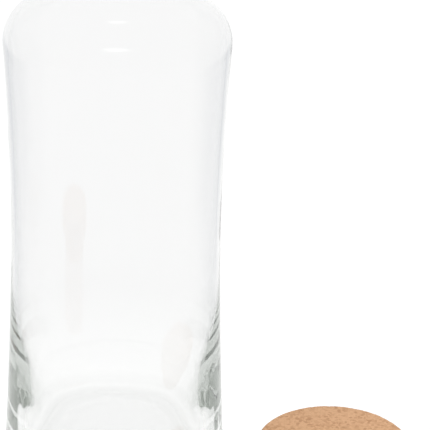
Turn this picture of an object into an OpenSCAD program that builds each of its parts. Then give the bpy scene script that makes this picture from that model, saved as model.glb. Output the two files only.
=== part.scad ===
// Tall waisted glass canister with a heavy base and a wide mouth, and its two-layer cork stopper,
// which stands on the table beside the open vessel.
// Frame: origin on the table at the centre of the vessel's foot, +Z up along the vessel's axis.

/* [Vessel] */
// Diameter that the flared side would have at the table, before the heel is rounded
foot_d = 114.5; // [110:0.5:120]
// Diameter at the waist, the narrowest part of the side
waist_d = 104.5; // [96:0.5:107]
// Height of the waist above the table
waist_z = 131; // [110:1:150]
// Diameter at the widest part of the shoulder
shoulder_d = 111; // [108:0.5:116]
// Height of the widest part of the shoulder
shoulder_z = 232.5; // [225:0.5:238]
// Outer diameter of the neck
neck_d = 66; // [60:0.5:70]
// Height of the neck and lip above the shoulder's slope
neck_h = 25; // [25:0.5:36]
// Thickness of the glass from the waist up
wall = 2.5; // [2:0.1:3.5]

/* [Heavy base] */
// Height of the cavity's floor at its centre
floor_z = 8; // [6:0.5:14]
// Diameter of the cavity just above its rounded floor
well_d = 94.5; // [84:0.5:98]
// Height at which the wall starts to thicken downwards
thick_z = 112; // [80:1:125]
// Height below which the cavity's side is straight
well_z = 40; // [30:1:50]
// Radius between the cavity's side and its floor
well_round = 6; // [4:0.5:12]
// Height of the hollow in the underside
punt_h = 2; // [1:0.5:4]

/* [Stopper] */
// Diameter of the cork cap
cap_d = 76; // [70:0.5:80]
// Thickness of the cork cap
cap_h = 20; // [14:0.5:26]
// Diameter of the cork plug where it meets the cap
plug_top_d = 61; // [60:0.5:62]
// Diameter of the cork plug at its lower end
plug_end_d = 57; // [54:0.5:59]
// Depth of the cork plug below the cap
plug_h = 24; // [18:0.5:26]
// Distance of the stopper to the right of the vessel's axis
stopper_x = 111; // [100:1:140]
// Distance of the stopper in front of the vessel's axis
stopper_y = 54.5; // [0:0.5:100]

/* [Hidden] */

foot_r = foot_d / 2;
waist_r = waist_d / 2;
shoulder_r = shoulder_d / 2;
neck_r = neck_d / 2;
mouth_r = neck_r - wall;
well_r = well_d / 2;

heel_round = 9;         // round between the underside and the side
contact_w = 3;          // width of the flat ring that the glass stands on
shoulder_round = 20;    // outer radius of the shoulder's arc
shoulder_slope = 54;    // steepest turn of the shoulder from upright, in degrees
neck_round = 14;        // outer radius where the shoulder runs into the neck
neck_straight = 9;      // length of the upright part of the neck
lip_flare = 30;         // radius of both sides of the flared lip
lip_round = 2.4;        // radius of the fire-polished edge
slow_start = 1.5;       // over 1, the wall thickens slowly at first and faster lower down
cap_edge = 1;           // chamfer on the cap's edges
plug_edge = 2;          // round on the plug's lower edge
arc_step = 6;           // degrees between the points of an arc
arc_least = 6;          // fewest steps along an arc
side_steps = 24;        // points along each of the side's two curves
$fn = 180;

// Points of an arc about (cr, cz), from angle a0 to angle a1
function arc(cr, cz, radius, a0, a1) =
    let (n = max(arc_least, ceil(abs(a1 - a0) / arc_step)))
    [for (i = [0:n]) let (a = a0 + (a1 - a0) * i / n) [cr + radius * cos(a), cz + radius * sin(a)]];

// Outer radius of the side at height z, below and above the waist
function flare_r(z) = waist_r + (foot_r - waist_r) * pow((waist_z - z) / waist_z, 1.5);
function swell_r(z) = waist_r + swell_rise * pow((z - waist_z) / swell_h, 2);
function side_r(z) = z < waist_z ? flare_r(z) : swell_r(z);

// The side meets the shoulder's arc a little below its widest part, where both lean out alike
lean = atan(2 * (shoulder_r - waist_r) / (shoulder_z - waist_z));
swell_top = shoulder_z - shoulder_round * sin(lean);
swell_h = swell_top - waist_z;
swell_rise = shoulder_r - shoulder_round * (1 - cos(lean)) - waist_r;

// The heel's arc meets the side where the side leans in by heel_lean
heel_lean = atan(1.5 * (foot_r - waist_r) / waist_z);
heel_top = heel_round * (1 + sin(heel_lean));
heel_cr = flare_r(heel_top) - heel_round * cos(heel_lean);
punt_r = heel_cr - contact_w;
punt_round = (pow(punt_r, 2) + pow(punt_h, 2)) / (2 * punt_h);
punt_half = asin(punt_r / punt_round);

// Centres of the shoulder's and neck's arcs: a straight slope is tangent to both
shoulder_cr = shoulder_r - shoulder_round;
neck_cr = neck_r + neck_round;
both_rounds = shoulder_round + neck_round;
slope_l = (both_rounds * cos(shoulder_slope) - (neck_cr - shoulder_cr)) / sin(shoulder_slope);
neck_z = shoulder_z + both_rounds * sin(shoulder_slope) + slope_l * cos(shoulder_slope);

// The lip's edge is a circle tangent to the flare outside and to the flare inside
flare_z = neck_z + neck_straight;
lip_z = neck_z + neck_h - lip_round;
lip_cr = neck_r + lip_flare - sqrt(pow(lip_flare + lip_round, 2) - pow(lip_z - flare_z, 2));
lip_out = asin((lip_z - flare_z) / (lip_flare + lip_round));
land_cr = mouth_r + lip_flare;
land_top = lip_z - sqrt(pow(lip_flare - lip_round, 2) - pow(land_cr - lip_cr, 2));
lip_in = asin((lip_z - land_top) / (lip_flare - lip_round));

// Inner radius at height z: parallel to the outside above, easing into the narrower well below
function ease(t) = t * t * (3 - 2 * t);
function inside_r(z) = side_r(z) - wall;
function thickening(z) = ease(pow((thick_z - z) / (thick_z - well_z), slow_start));
function cavity_r(z) =
    z >= thick_z ? inside_r(z) : inside_r(z) - (inside_r(z) - well_r) * thickening(z);

function outer_outline() = concat(
    arc(0, punt_h - punt_round, punt_round, 90, 90 - punt_half),
    arc(heel_cr, heel_round, heel_round, -90, heel_lean),
    [for (i = [1:side_steps]) let (z = heel_top + (waist_z - heel_top) * i / side_steps) [flare_r(z), z]],
    [for (i = [1:side_steps - 1]) let (z = waist_z + swell_h * i / side_steps) [swell_r(z), z]],
    arc(shoulder_cr, shoulder_z, shoulder_round, -lean, shoulder_slope),
    arc(neck_cr, neck_z, neck_round, 180 + shoulder_slope, 180),
    arc(neck_r + lip_flare, flare_z, lip_flare, 180, 180 - lip_out),
    arc(lip_cr, lip_z, lip_round, -lip_out, 180 - lip_in)
);

function inner_outline() = concat(
    arc(land_cr, land_top, lip_flare, 180 - lip_in, 180),
    arc(neck_cr, neck_z, neck_round + wall, 180, 180 + shoulder_slope),
    arc(shoulder_cr, shoulder_z, shoulder_round - wall, shoulder_slope, -lean),
    [for (i = [1:side_steps - 1]) let (z = swell_top - (swell_top - thick_z) * i / side_steps) [cavity_r(z), z]],
    [for (i = [0:side_steps]) let (z = thick_z - (thick_z - well_z) * i / side_steps) [cavity_r(z), z]],
    arc(well_r - well_round, floor_z + well_round, well_round, 0, -90),
    [[0, floor_z]]
);

module glass_vessel() {
    color([0.9, 0.95, 0.95, 0.35])
        rotate_extrude() polygon(concat(outer_outline(), inner_outline()));
}

// Disc with a chamfer on both edges, standing at height z
module cork_disc(radius, h, z) {
    translate([0, 0, z]) rotate_extrude() polygon([
        [0, 0], [radius - cap_edge, 0], [radius, cap_edge],
        [radius, h - cap_edge], [radius - cap_edge, h], [0, h]
    ]);
}

module cork_cap() {
    color([0.83, 0.64, 0.47])
        translate([stopper_x, -stopper_y, 0]) cork_disc(cap_d / 2, cap_h, plug_h);
}

module cork_plug() {
    end_r = plug_end_d / 2;
    top_r = plug_top_d / 2;
    color([0.78, 0.58, 0.41])
        translate([stopper_x, -stopper_y, 0]) rotate_extrude() polygon(concat(
            [[0, 0]],
            arc(end_r - plug_edge, plug_edge, plug_edge, -90, 0),
            [[top_r, plug_h], [0, plug_h]]
        ));
}

glass_vessel();
cork_cap();
cork_plug();
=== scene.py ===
import math

import bmesh
import bpy
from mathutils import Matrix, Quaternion, Vector, noise


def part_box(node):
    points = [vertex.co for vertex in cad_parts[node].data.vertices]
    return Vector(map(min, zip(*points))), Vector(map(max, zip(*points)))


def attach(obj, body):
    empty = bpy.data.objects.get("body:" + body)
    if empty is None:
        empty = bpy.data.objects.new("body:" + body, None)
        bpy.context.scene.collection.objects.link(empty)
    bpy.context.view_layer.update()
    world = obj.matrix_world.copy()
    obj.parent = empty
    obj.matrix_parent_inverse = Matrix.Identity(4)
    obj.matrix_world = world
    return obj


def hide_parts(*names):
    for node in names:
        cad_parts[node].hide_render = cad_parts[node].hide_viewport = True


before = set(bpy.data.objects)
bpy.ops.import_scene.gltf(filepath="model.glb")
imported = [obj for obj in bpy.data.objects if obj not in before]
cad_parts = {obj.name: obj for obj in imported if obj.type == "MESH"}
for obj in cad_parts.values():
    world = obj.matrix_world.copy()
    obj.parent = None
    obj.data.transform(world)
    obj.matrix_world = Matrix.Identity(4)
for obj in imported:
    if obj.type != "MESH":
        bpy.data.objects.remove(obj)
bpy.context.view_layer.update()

# The glass: how finely the turned surface is drawn, and how far blown glass strays from true
GLASS_STEPS = 240           # facets round the axis
GLASS_CELL = 0.0020         # length of a facet along the outline
BASE_WAVE = 0.0003          # waviness of the inside of the heavy base
SIDE_WAVE = 0.00003         # waviness of the rest of the glass
WAVE_TOP = 0.100            # height where the base's waviness has died out
BROAD_WAVES = (38, 38, 30)  # scale of the base's broad waves along x, y and z, per metre
FINE_WAVES = (240, 240, 22)  # scale of the base's fine waves, which run up and down
FINE_SHARE = 0.22           # height of the fine waves, as a share of the broad ones
SIDE_WAVES = (25, 25, 14)   # scale of the other waves
BROAD_SHIFT = Vector((0, 0, 7))  # moves each pattern, so that no two line up
FINE_SHIFT = Vector((0, 0, 3))
GLASS_TINT = (0.957, 0.957, 0.958, 1.0)  # what each surface of the glass lets through
GLASS_IOR = 1.51
GLASS_BODY = (0.725, 0.748, 0.722, 1.0)  # faint grey-green of thick glass
GLASS_DENSITY = 20.0        # how fast it deepens, per metre
HAZE_SCALE = 40.0           # patches of haze per metre
HAZE_FROM, HAZE_TO = 0.45, 0.80  # noise values between which the haze comes up
HAZE_ROUGHNESS = 0.006      # roughness where the haze is strongest
RIPPLE_SCALE = 22.0         # ripples per metre
RIPPLE_HEIGHT = 0.0005
RIPPLE_STRENGTH = 0.25

# The cork: grain and relief of pressed cork granules
CORK_CELL = 0.0006          # edge of a facet on the cork
GRANULE = 0.0014            # size of a cork granule
GRANULE_RELIEF = 0.00006    # height differences between granules
SEAM_WIDTH = 0.25           # width of the seams between granules, as a share of their size
PIT_SPACING = 0.0052        # distance between the pores
PIT_DEPTH = 0.00010         # depth of the pores
PIT_LEAST = 0.06            # radius of the smallest pore, as a share of the spacing
PIT_SPREAD = 0.12           # how much wider the largest is, as a share of the spacing
PIT_SHIFT = Vector((11.0, 5.0, 3.0))  # moves the pores off the granules' pattern
GRANULE_SEED, PIT_SEED = 7.3, 3.1  # scales that draw another number for each granule and pore
SEAM_REACH = 0.12           # distance from a seam over which its dark edge fades
SEAM_DARK = 0.22            # how much of the dark tone the seams take
SPECK_SCALE = 900.0         # dark specks per metre
SPECK_FROM, SPECK_TO = 0.56, 0.74  # noise values between which a speck comes up
SPECK_DARK = 0.30           # how much of the dark tone the specks take
FIBRE_SCALE = 1600.0        # fine relief per metre
FIBRE_HEIGHT = 0.0003
FIBRE_STRENGTH = 0.5
CORK_ROUGHNESS = 0.88
CORK_SHINE = 0.25           # half the shine of common surfaces
# The pale, middle and dark tones of the granules, and how far each one reaches
CAP_CORK = ((0.675, 0.405, 0.232), (0.585, 0.335, 0.185), (0.50, 0.275, 0.145))
PLUG_CORK = ((0.64, 0.378, 0.21), (0.55, 0.31, 0.168), (0.46, 0.25, 0.128))
PALE_FROM, PALE_TO, MIDDLE_AT = 0.30, 0.62, 0.80

# The view
VIEW_DOWN = math.radians(25.0)  # how far the camera looks down
VIEW_ROLL = math.radians(1.54)
VIEW_DISTANCE = 1.225       # from the camera to the aim point
VIEW_LENS = 206.0           # focal length in millimetres
VIEW_AIM = Vector((0.0492, 0.0, 0.1412))
VIEW_NEAR, VIEW_FAR = 0.05, 30.0  # nearest and farthest distance that the camera draws

# The studio
GLASS_BOUNCES = 48          # times that light may bend or bounce in the glass
FLOOR_DROP = 0.0002         # keeps the floor just under the glass foot
FLOOR_SIZE = 12.0           # side of the square floor
FLOOR_GLOW = 0.92           # light that the floor gives by itself
FLOOR_DIM = (0.67, 0.68, 0.70)  # that light, darkened by painted shade where the sweep is dim, behind and to the sides
FLOOR_PAINT = 0.12          # share of the studio's light that the floor sends back
SWEEP_HALF = 0.055          # half width of the bright strip of floor, beside the vessel
SWEEP_SPREAD = 0.18         # how much it widens on each side with distance behind the vessel
SWEEP_FADE = 0.16           # distance to the side over which the floor dims
SWEEP_BEHIND = 0.15         # distance behind the vessel over which it dims
SWEEP_NEAR, SWEEP_FAR = 0.65, 0.95  # distances between which the dimness weakens again
SWEEP_REST = 0.30           # share of the dimness that is left farther away
POOL_CORE, POOL_EDGE = 0.06, 0.20  # radii of the painted pool of light on the floor round the vessel
POOL_GAIN = 1.14            # how much brighter its middle is
STUDIO_WHITE = (1.01, 1.01, 1.01, 1.0)  # the world, white enough that no horizon shows
SOFTBOX_UP = 1.45           # height of the softbox over the object
SOFTBOX_NEAR = 0.45         # how far it stands towards the camera
SOFTBOX_WIDE, SOFTBOX_DEEP = 0.60, 0.27  # its sides
SOFTBOX_CORE = 0.20         # radius of its brightest part, as a share of its width
SOFTBOX_WATTS = 0.7         # its power
FILL_STRENGTH = 0.50        # soft light from above, which the glass doesn't mirror
FILL_ANGLE = math.radians(60.0)
FILL_TILT = (math.radians(25.0), math.radians(-20.0), 0.0)


# ---------------------------------------------------------------- turned meshes

SAME_RING = 0.00003         # vertices nearer than this in radius and height are on one ring
ON_AXIS = 0.0001            # a radius under this counts as none
SHARP_CORNER = math.radians(35)  # an outline's corner that bends more than this stays sharp


def rings_of(mesh, centre):
    """The (radius, height) of the mesh's rings about a vertical axis, and each vertex's ring."""
    rings, ring_of_vertex = [], []
    for vertex in mesh.vertices:
        place = Vector((math.hypot(vertex.co.x - centre.x, vertex.co.y - centre.y), vertex.co.z))
        found = [i for i, ring in enumerate(rings) if (ring - place).length < SAME_RING]
        if not found:
            found = [len(rings)]
            rings.append(place)
        ring_of_vertex.append(found[0])
    return rings, ring_of_vertex


def outline_of(name):
    """A turned CAD node's outline, ring by ring from its underside, and the centre of its box."""
    low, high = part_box(name)
    centre = (low + high) / 2
    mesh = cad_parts[name].data
    rings, ring_of_vertex = rings_of(mesh, centre)
    beside = [set() for _ in rings]
    for edge in mesh.edges:
        a, b = (ring_of_vertex[i] for i in edge.vertices)
        if a != b:
            beside[a].add(b)
            beside[b].add(a)
    here = min(range(len(rings)), key=lambda i: (len(beside[i]), rings[i].y))
    walk = []
    while here is not None:
        walk.append(here)
        ahead = [i for i in beside[here] if i not in walk]
        here = ahead[0] if ahead else None
    return [rings[i] for i in walk], centre


def close_to_axis(outline):
    """The outline with its two ends carried to the axis."""
    start = [Vector((0.0, outline[0].y))] if outline[0].x > ON_AXIS else []
    end = [Vector((0.0, outline[-1].y))] if outline[-1].x > ON_AXIS else []
    return start + outline + end


def bend(a, b, c):
    """How far the line a, b, c turns at b, in radians."""
    return (b - a).angle(c - b)


def spaced(outline, cell):
    """Points a cell apart on a smooth curve through the outline, which keeps its sharp corners."""
    last = len(outline) - 1
    slopes = []
    for i, place in enumerate(outline):
        before, after = outline[max(i - 1, 0)], outline[min(i + 1, last)]
        sharp = i in (0, last) or bend(before, place, after) > SHARP_CORNER
        slopes.append(None if sharp else (after - before).normalized())
    made = []
    for i in range(last):
        a, b = outline[i], outline[i + 1]
        length = (b - a).length
        start = (slopes[i] or (b - a).normalized()) * length
        end = (slopes[i + 1] or (b - a).normalized()) * length
        count = max(1, round(length / cell))
        for k in range(count):
            t = k / count
            made.append(
                a * (2 * t**3 - 3 * t**2 + 1) + start * (t**3 - 2 * t**2 + t)
                + b * (3 * t**2 - 2 * t**3) + end * (t**3 - t**2)
            )
    return made + [outline[-1]]


def turn(name, outline, centre, steps, relief):
    """A closed mesh turned from an outline, each point moved out along its normal by relief."""
    mesh = bpy.data.meshes.new(name)
    work = bmesh.new()
    rings = []
    for ring in outline:
        if ring.x < ON_AXIS:
            rings.append([work.verts.new((centre.x, centre.y, ring.y))])
            continue
        angles = [2 * math.pi * k / steps for k in range(steps)]
        rings.append([
            work.verts.new((
                centre.x + ring.x * math.cos(a), centre.y + ring.x * math.sin(a), ring.y))
            for a in angles
        ])
    for lower, upper in zip(rings, rings[1:]):
        for k in range(steps):
            corners = [lower[k % len(lower)], lower[(k + 1) % len(lower)],
                       upper[(k + 1) % len(upper)], upper[k % len(upper)]]
            work.faces.new(list(dict.fromkeys(corners)))
    bmesh.ops.recalc_face_normals(work, faces=work.faces)
    work.normal_update()
    moves = [vertex.normal * relief(vertex.co, vertex.normal) for vertex in work.verts]
    for vertex, move in zip(work.verts, moves):
        vertex.co += move
    for face in work.faces:
        face.smooth = True
    work.to_mesh(mesh)
    work.free()
    piece = bpy.data.objects.new(name, mesh)
    bpy.context.scene.collection.objects.link(piece)
    return piece


# ---------------------------------------------------------------- reliefs

def ease(t):
    """0 below 0, 1 above 1, and smooth between."""
    t = min(max(t, 0.0), 1.0)
    return t * t * (3 - 2 * t)


def scaled(place, factors):
    """The place with each coordinate times its own factor."""
    return Vector([value * factor for value, factor in zip(place, factors)])


def glass_relief(place, normal):
    """Slow waves of blown glass: faint outside, stronger on the inside of the heavy base."""
    inward = normal.x * place.x + normal.y * place.y < 0
    low = ease((WAVE_TOP - place.z) / WAVE_TOP)
    if inward and low > 0:
        broad = noise.noise(scaled(place, BROAD_WAVES) + BROAD_SHIFT)
        fine = noise.noise(scaled(place, FINE_WAVES) + FINE_SHIFT)
        return BASE_WAVE * low * (broad + FINE_SHARE * fine)
    high = ease(place.z / WAVE_TOP)
    return SIDE_WAVE * high * noise.noise(scaled(place, SIDE_WAVES))


def cork_relief(place, normal):
    """Granules a little apart in height, with pores here and there."""
    apart, grains = noise.voronoi(place / GRANULE)
    height = GRANULE_RELIEF * noise.cell(grains[0] * GRANULE_SEED)
    seam = 1 - ease((apart[1] - apart[0]) / SEAM_WIDTH)
    near, pits = noise.voronoi(place / PIT_SPACING + PIT_SHIFT)
    size = PIT_LEAST + PIT_SPREAD * noise.cell(pits[0] * PIT_SEED)
    pit = 1 - ease(near[0] / size)
    return height - GRANULE_RELIEF * seam - PIT_DEPTH * pit


# ---------------------------------------------------------------- materials

def add_node(tree, kind, values=None, **settings):
    """A shader node with its settings and its sockets: a value, or another node's output."""
    made = tree.nodes.new(kind)
    for name, value in settings.items():
        setattr(made, name, value)
    for name, value in (values or {}).items():
        if isinstance(value, bpy.types.NodeSocket):
            tree.links.new(value, made.inputs[name])
        else:
            made.inputs[name].default_value = value
    return made


def new_material(name):
    """An empty node material, its tree and its output node."""
    made = bpy.data.materials.new(name)
    made.use_nodes = True
    made.node_tree.nodes.clear()
    return made, made.node_tree, made.node_tree.nodes.new("ShaderNodeOutputMaterial")


def ramp(tree, factor, stops):
    """A colour ramp over factor, from (position, colour) stops."""
    made = add_node(tree, "ShaderNodeValToRGB", {"Fac": factor})
    points = made.color_ramp.elements
    while len(points) < len(stops):
        points.new(1.0)
    for point, (position, colour) in zip(points, stops):
        point.position = position
        point.color = (*colour, 1.0)
    return made.outputs["Color"]


def glass_material():
    """Clear glass with faint ripples, a trace of haze and a body that greys where it is thick."""
    made, tree, out = new_material("blown_glass")
    place = add_node(tree, "ShaderNodeTexCoord").outputs["Object"]
    haze = add_node(tree, "ShaderNodeTexNoise", {"Vector": place, "Scale": HAZE_SCALE, "Detail": 3.0})
    rough = add_node(tree, "ShaderNodeMapRange", {
        "Value": haze.outputs["Fac"], "From Min": HAZE_FROM, "From Max": HAZE_TO,
        "To Min": 0.0, "To Max": HAZE_ROUGHNESS})
    ripples = add_node(tree, "ShaderNodeTexNoise", {
        "Vector": place, "Scale": RIPPLE_SCALE, "Detail": 2.0})
    waves = add_node(tree, "ShaderNodeBump", {
        "Height": ripples.outputs["Fac"], "Strength": RIPPLE_STRENGTH, "Distance": RIPPLE_HEIGHT})
    glass = add_node(tree, "ShaderNodeBsdfPrincipled", {
        "Base Color": GLASS_TINT, "Roughness": rough.outputs["Result"],
        "Normal": waves.outputs["Normal"], "IOR": GLASS_IOR, "Transmission Weight": 1.0})
    body = add_node(tree, "ShaderNodeVolumeAbsorption", {
        "Color": GLASS_BODY, "Density": GLASS_DENSITY})
    tree.links.new(glass.outputs["BSDF"], out.inputs["Surface"])
    tree.links.new(body.outputs["Volume"], out.inputs["Volume"])
    return made


def cork_material(name, pale, mid, dark):
    """Pressed cork: granules of three tones, dark seams between them, and dark specks."""
    made, tree, out = new_material(name)
    place = add_node(tree, "ShaderNodeTexCoord").outputs["Object"]
    grains = add_node(tree, "ShaderNodeTexVoronoi", {
        "Vector": place, "Scale": 1 / GRANULE, "Randomness": 1.0})
    tone = add_node(tree, "ShaderNodeSeparateColor", {"Color": grains.outputs["Color"]})
    colour = ramp(tree, tone.outputs["Red"], [
        (0.0, mid), (PALE_FROM, pale), (PALE_TO, pale), (MIDDLE_AT, mid), (1.0, dark)])
    seams = add_node(tree, "ShaderNodeTexVoronoi", {
        "Vector": place, "Scale": 1 / GRANULE}, feature="DISTANCE_TO_EDGE")
    seam = add_node(tree, "ShaderNodeMapRange", {
        "Value": seams.outputs["Distance"], "From Max": SEAM_REACH,
        "To Min": SEAM_DARK, "To Max": 0.0})
    seamed = add_node(tree, "ShaderNodeMix", {
        "Factor": seam.outputs["Result"], "A": colour, "B": (*dark, 1.0)}, data_type="RGBA")
    specks = add_node(tree, "ShaderNodeTexNoise", {
        "Vector": place, "Scale": SPECK_SCALE, "Detail": 4.0})
    speck = add_node(tree, "ShaderNodeMapRange", {
        "Value": specks.outputs["Fac"], "From Min": SPECK_FROM, "From Max": SPECK_TO,
        "To Max": SPECK_DARK})
    skin = add_node(tree, "ShaderNodeMix", {
        "Factor": speck.outputs["Result"], "A": seamed.outputs["Result"], "B": (*dark, 1.0)},
        data_type="RGBA")
    fibre = add_node(tree, "ShaderNodeTexNoise", {
        "Vector": place, "Scale": FIBRE_SCALE, "Detail": 6.0})
    bump = add_node(tree, "ShaderNodeBump", {
        "Height": fibre.outputs["Fac"], "Strength": FIBRE_STRENGTH, "Distance": FIBRE_HEIGHT})
    cork = add_node(tree, "ShaderNodeBsdfPrincipled", {
        "Base Color": skin.outputs["Result"], "Roughness": CORK_ROUGHNESS,
        "Normal": bump.outputs["Normal"], "Specular IOR Level": CORK_SHINE})
    tree.links.new(cork.outputs["BSDF"], out.inputs["Surface"])
    return made


def floor_material():
    """A plain pale floor that glows, so that no shadow greys it.

    What the glass bends or mirrors of it is brightest in a painted pool of light round the vessel,
    and dims with painted shade to the sides behind it, less so farther away, as on a lit sweep.
    Seen straight, the floor is plain.
    """
    made, tree, out = new_material("pale_floor")
    place = add_node(tree, "ShaderNodeTexCoord").outputs["Object"]
    parts = add_node(tree, "ShaderNodeSeparateXYZ", {"Vector": place})
    aside = add_node(tree, "ShaderNodeMath", {0: parts.outputs["X"]}, operation="ABSOLUTE")
    spread = add_node(tree, "ShaderNodeMath", {
        0: parts.outputs["Y"], 1: -SWEEP_SPREAD, 2: aside.outputs["Value"]},
        operation="MULTIPLY_ADD")
    side = add_node(tree, "ShaderNodeMapRange", {
        "Value": spread.outputs["Value"], "From Min": SWEEP_HALF,
        "From Max": SWEEP_HALF + SWEEP_FADE}, interpolation_type="SMOOTHSTEP")
    behind = add_node(tree, "ShaderNodeMapRange", {
        "Value": parts.outputs["Y"], "From Max": SWEEP_BEHIND}, interpolation_type="SMOOTHSTEP")
    corner = add_node(tree, "ShaderNodeMath", {
        0: side.outputs["Result"], 1: behind.outputs["Result"]}, operation="MULTIPLY")
    apart = add_node(tree, "ShaderNodeVectorMath", {0: place}, operation="LENGTH")
    near = add_node(tree, "ShaderNodeMapRange", {
        "Value": apart.outputs["Value"], "From Min": SWEEP_NEAR, "From Max": SWEEP_FAR,
        "To Min": 1.0, "To Max": SWEEP_REST}, interpolation_type="SMOOTHSTEP")
    dim = add_node(tree, "ShaderNodeMath", {
        0: corner.outputs["Value"], 1: near.outputs["Result"]}, operation="MULTIPLY")
    glow = ramp(tree, dim.outputs["Value"], [(0.0, (FLOOR_GLOW,) * 3), (1.0, FLOOR_DIM)])
    # painted pool of light: the floor's glow is stronger round the vessel
    pool = add_node(tree, "ShaderNodeMapRange", {
        "Value": apart.outputs["Value"], "From Min": POOL_CORE, "From Max": POOL_EDGE,
        "To Min": POOL_GAIN, "To Max": 1.0}, interpolation_type="SMOOTHSTEP")
    # painted shade: only what the glass bends or mirrors of the floor takes the dimmed glow
    straight = add_node(tree, "ShaderNodeLightPath").outputs["Is Camera Ray"]
    plain = add_node(tree, "ShaderNodeMix", {
        "Factor": straight, "A": glow, "B": (FLOOR_GLOW,) * 3 + (1.0,)}, data_type="RGBA")
    light = add_node(tree, "ShaderNodeEmission", {
        "Color": plain.outputs["Result"], "Strength": pool.outputs["Result"]})
    paint = add_node(tree, "ShaderNodeBsdfDiffuse", {"Color": (FLOOR_PAINT,) * 3 + (1.0,)})
    lit = add_node(tree, "ShaderNodeAddShader", {0: light.outputs[0], 1: paint.outputs[0]})
    tree.links.new(lit.outputs[0], out.inputs["Surface"])
    return made


# ---------------------------------------------------------------- pieces

def turned_piece(node, body, cell, steps, relief, material):
    """A finely turned piece that stands for a CAD node and rides on its body."""
    outline, centre = outline_of(node)
    piece = turn(node + "_look", spaced(close_to_axis(outline), cell), centre, steps, relief)
    piece.data.materials.append(material)
    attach(piece, body)
    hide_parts(node)
    return piece


def cork_piece(node, material_name, tones):
    """A piece of the stopper, with facets round it that are as long as its cells."""
    low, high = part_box(node)
    steps = round(math.pi * (high.x - low.x) / CORK_CELL)
    material = cork_material(material_name, *tones)
    piece = turned_piece(node, "stopper", CORK_CELL, steps, cork_relief, material)
    piece.visible_glossy = False  # the outside of the glass doesn't mirror it


turned_piece("glass_vessel", "vessel", GLASS_CELL, GLASS_STEPS, glass_relief, glass_material())
cork_piece("cork_cap", "cap_cork", CAP_CORK)
cork_piece("cork_plug", "plug_cork", PLUG_CORK)


# ---------------------------------------------------------------- studio

def make_floor():
    """A wide floor under the object, which is stage and no part of it."""
    mesh = bpy.data.meshes.new("floor")
    half = FLOOR_SIZE / 2
    corners = [(-half, -half), (half, -half), (half, half), (-half, half)]
    mesh.from_pydata([(x, y, -FLOOR_DROP) for x, y in corners], [], [(0, 1, 2, 3)])
    mesh.materials.append(floor_material())
    floor = bpy.data.objects.new("floor", mesh)
    bpy.context.scene.collection.objects.link(floor)


def make_world():
    """A plain white studio all round."""
    world = bpy.data.worlds.new("studio")
    bpy.context.scene.world = world
    world.use_nodes = True
    tree = world.node_tree
    tree.nodes.clear()
    out = tree.nodes.new("ShaderNodeOutputWorld")
    light = add_node(tree, "ShaderNodeBackground", {"Color": STUDIO_WHITE, "Strength": 1.0})
    tree.links.new(light.outputs["Background"], out.inputs["Surface"])


def make_softbox():
    """A softbox over the object, which fades towards its edges."""
    data = bpy.data.lights.new("softbox", "AREA")
    data.shape = "RECTANGLE"
    data.size, data.size_y = SOFTBOX_WIDE, SOFTBOX_DEEP
    data.energy = SOFTBOX_WATTS
    data.use_nodes = True
    tree = data.node_tree
    tree.nodes.clear()
    out = tree.nodes.new("ShaderNodeOutputLight")
    across = add_node(tree, "ShaderNodeNewGeometry").outputs["Parametric"]
    middle = add_node(
        tree, "ShaderNodeVectorMath", {0: across, 1: (0.5, 0.5, 0.0)}, operation="DISTANCE")
    fade = add_node(tree, "ShaderNodeMapRange", {
        "Value": middle.outputs["Value"], "From Min": SOFTBOX_CORE, "From Max": 0.5,
        "To Min": 1.0, "To Max": 0.0}, interpolation_type="SMOOTHSTEP")
    light = add_node(tree, "ShaderNodeEmission", {"Strength": fade.outputs["Result"]})
    tree.links.new(light.outputs["Emission"], out.inputs["Surface"])
    softbox = bpy.data.objects.new("softbox", data)
    softbox.location = (0.0, -SOFTBOX_NEAR, SOFTBOX_UP)
    bpy.context.scene.collection.objects.link(softbox)


def make_fill():
    """A wide soft light for the cork."""
    data = bpy.data.lights.new("fill", "SUN")
    data.energy = FILL_STRENGTH
    data.angle = FILL_ANGLE
    fill = bpy.data.objects.new("fill", data)
    fill.rotation_euler = FILL_TILT
    fill.visible_glossy = False
    fill.visible_transmission = False
    bpy.context.scene.collection.objects.link(fill)


def make_camera():
    """The camera, which looks down on the aim point and is rolled a little."""
    data = bpy.data.cameras.new("camera")
    data.lens = VIEW_LENS
    data.clip_start, data.clip_end = VIEW_NEAR, VIEW_FAR
    camera = bpy.data.objects.new("camera", data)
    bpy.context.scene.collection.objects.link(camera)
    ahead = Vector((0.0, math.cos(VIEW_DOWN), -math.sin(VIEW_DOWN)))
    camera.location = VIEW_AIM - VIEW_DISTANCE * ahead
    camera.rotation_mode = "QUATERNION"
    camera.rotation_quaternion = Quaternion(-ahead, VIEW_ROLL) @ ahead.to_track_quat("-Z", "Y")
    bpy.context.scene.camera = camera


make_floor()
make_world()
make_softbox()
make_fill()
make_camera()
bpy.context.scene.view_settings.view_transform = "Standard"

# Light that is trapped in the heavy base bounces many times before it leaves the glass
bounces = bpy.context.scene.cycles
bounces.max_bounces = bounces.transmission_bounces = bounces.glossy_bounces = GLASS_BOUNCES
